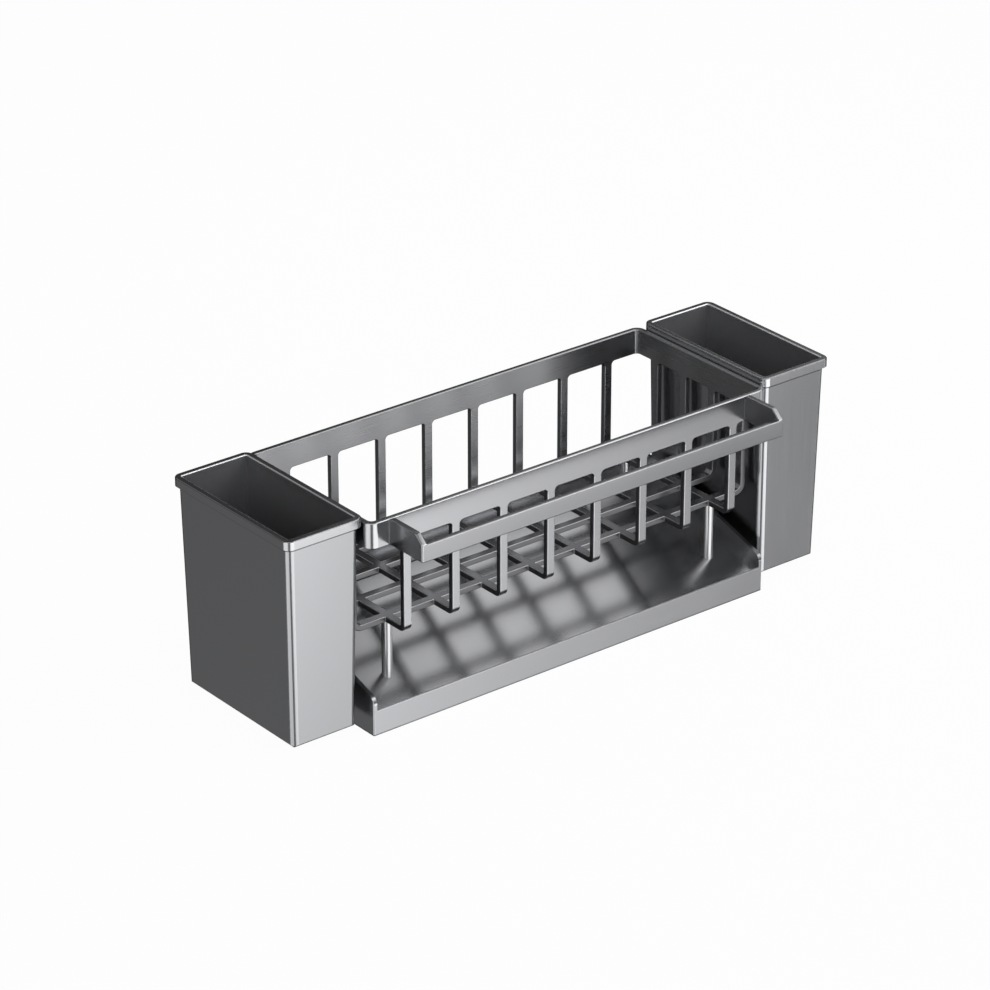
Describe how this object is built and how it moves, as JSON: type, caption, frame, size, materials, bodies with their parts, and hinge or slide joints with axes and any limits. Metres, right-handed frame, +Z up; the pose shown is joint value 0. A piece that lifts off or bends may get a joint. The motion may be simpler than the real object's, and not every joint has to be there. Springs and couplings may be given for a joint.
{
  "type": "kitchen sink caddy",
  "caption": "Free-standing sink caddy with a lift-out slatted basket, a front towel rail, a sloping drip tray and tapered cups hung on its ends.",
  "frame": {"origin": "on the counter, at the middle of the whole footprint, cups and towel rail included", "axes": "+X along the caddy from the left cup to the right cup, +Y from the towel rail to the back, +Z up"},
  "size_m": [0.387, 0.1436, 0.1321],
  "materials": {
    "tray_steel": "satin gunmetal, fine brushing",
    "basket_steel": "satin gunmetal",
    "rail_steel": "satin gunmetal",
    "rod_steel": "polished gunmetal rod",
    "hanger_steel": "satin gunmetal",
    "cup_steel": "satin gunmetal, fine upright brushing"
  },
  "bodies": {
    "tray": {"drip_tray": "tray_steel"},
    "basket": {"basket_cage": "basket_steel", "towel_rail": "rail_steel", "leg_front_left": "rod_steel", "leg_front_right": "rod_steel", "leg_rear_left": "rod_steel", "leg_rear_right": "rod_steel", "hanger_left": "hanger_steel", "hanger_right": "hanger_steel"},
    "left_cup": {"cup_left": "cup_steel"},
    "right_cup": {"cup_right": "cup_steel"}
  },
  "joints": [
    {"name": "basket_lift", "type": "slide", "parent": "tray", "child": "basket", "axis": [0, 0, 1], "range_m": [0, 0.12]},
    {"name": "cup_left_lift", "type": "slide", "parent": "basket", "child": "left_cup", "axis": [0, 0, 1], "range_m": [0, 0.13]},
    {"name": "cup_right_lift", "type": "slide", "parent": "basket", "child": "right_cup", "axis": [0, 0, 1], "range_m": [0, 0.13]}
  ]
}
